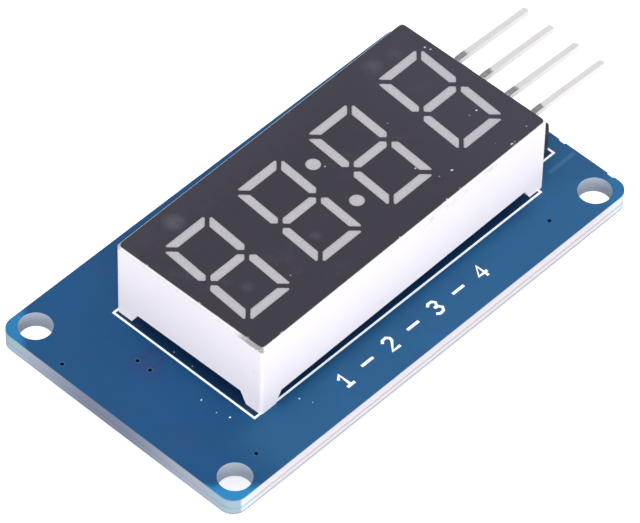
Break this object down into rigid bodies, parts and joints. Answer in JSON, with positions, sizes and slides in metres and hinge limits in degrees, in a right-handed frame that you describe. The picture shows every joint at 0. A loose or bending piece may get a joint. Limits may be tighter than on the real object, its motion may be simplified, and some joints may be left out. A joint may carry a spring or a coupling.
{
  "type": "seven segment display module",
  "caption": "Small blue circuit board with a four-digit seven-segment display, a driver chip underneath and a right-angle pin header at one short edge.",
  "frame": {"origin": "centre of the four mounting holes, on the board's underside", "axes": "+X along the board's long side, towards the header and in the reading direction; +Y up the digits; +Z out of the display's face"},
  "size_m": [0.0478, 0.0236, 0.0112],
  "materials": {
    "solder_mask": "blue solder mask over glass-fibre laminate, satin",
    "white_plastic": "white moulded plastic, matt",
    "dark_film": "dark grey printed film, satin",
    "resin": "milky resin, satin",
    "laminate": "bare glass-fibre laminate",
    "die": "semiconductor die",
    "tinned_wire": "bright tin plating",
    "black_plastic": "black moulded plastic, matt",
    "plated_pin": "tin-plated brass, satin",
    "moulding": "black epoxy moulding, matt",
    "ceramic": "tan ceramic",
    "black_glaze": "black glaze over ceramic",
    "solder": "solder, satin"
  },
  "bodies": {
    "root": {"circuit_board": "solder_mask", "display_housing": "white_plastic", "face_film": "dark_film", "display_resin": "resin", "led_carrier_board": "laminate", "led_dies": "die", "display_pins_upper": "tinned_wire", "display_pins_lower": "tinned_wire", "header_insulator": "black_plastic", "header_pin_1": "plated_pin", "header_pin_2": "plated_pin", "header_pin_3": "plated_pin", "header_pin_4": "plated_pin", "driver_chip_body": "moulding", "driver_chip_leads": "tinned_wire", "capacitor_bodies": "ceramic", "capacitor_caps": "tinned_wire", "resistor_bodies": "black_glaze", "resistor_caps": "tinned_wire", "display_solder": "solder", "header_solder": "solder", "chip_solder": "solder", "small_part_solder": "solder"}
  },
  "joints": []
}
